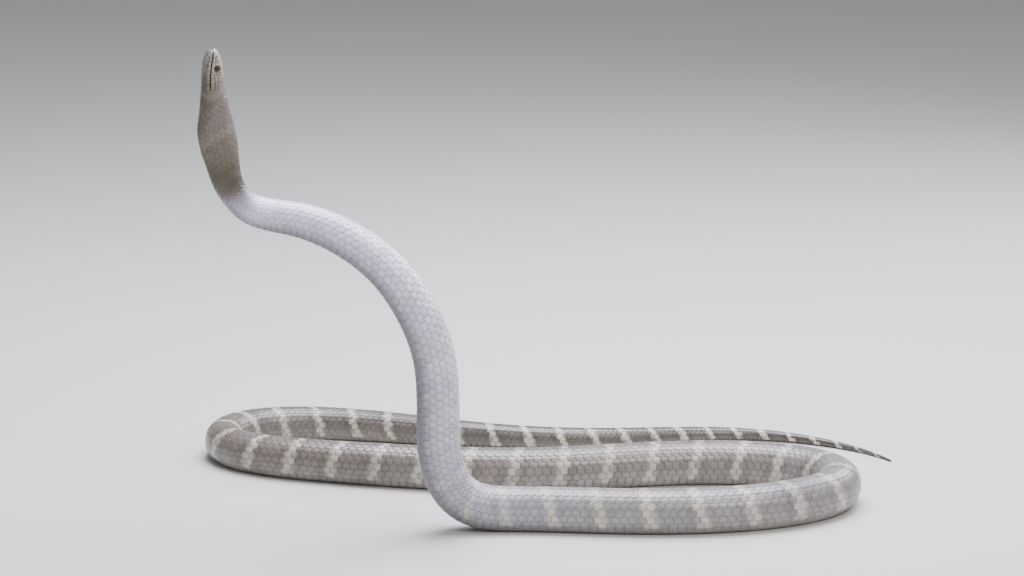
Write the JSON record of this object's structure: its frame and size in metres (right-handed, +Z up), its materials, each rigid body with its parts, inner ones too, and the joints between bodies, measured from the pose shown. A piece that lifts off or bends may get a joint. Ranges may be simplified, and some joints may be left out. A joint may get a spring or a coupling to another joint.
{
  "type": "king cobra snake model",
  "caption": "Life-size still model of a king cobra, its trunk in loose bends on the floor, forebody reared in an arch, head and half-spread hood held up.",
  "frame": {"origin": "on the floor under the belly, just behind the place where the forebody lifts off", "axes": "+Z up, +X along the trunk towards the tail where it leaves the forebody, -Y towards the viewer"},
  "size_m": [0.9688, 0.5503, 0.6414],
  "materials": {
    "head_shields": "smooth horny shields, satin gloss, olive grey-brown",
    "jaw_scales": "smooth scales, satin gloss, cream yellow",
    "eye": "bronze-brown iris and round black pupil under a clear glossy scale",
    "neck_scales": "smooth scales, satin gloss, warm grey-brown",
    "forebody_scales": "smooth glossy scales, pale mauve grey",
    "trunk_scales": "smooth glossy scales, grey-brown with faint pale bands",
    "tail_scales": "smooth scales with dark edges, dark grey-brown"
  },
  "bodies": {
    "root": {"head": "head_shields", "lower_jaw": "jaw_scales", "eye_left": "eye", "eye_right": "eye", "neck_hood": "neck_scales", "forebody_arch": "forebody_scales", "forebody_column": "forebody_scales", "forebody_base": "forebody_scales", "trunk_1": "trunk_scales", "trunk_2": "trunk_scales", "trunk_3": "trunk_scales", "trunk_4": "trunk_scales", "trunk_5": "trunk_scales", "trunk_6": "trunk_scales", "tail_1": "tail_scales", "tail_2": "tail_scales"}
  },
  "joints": []
}
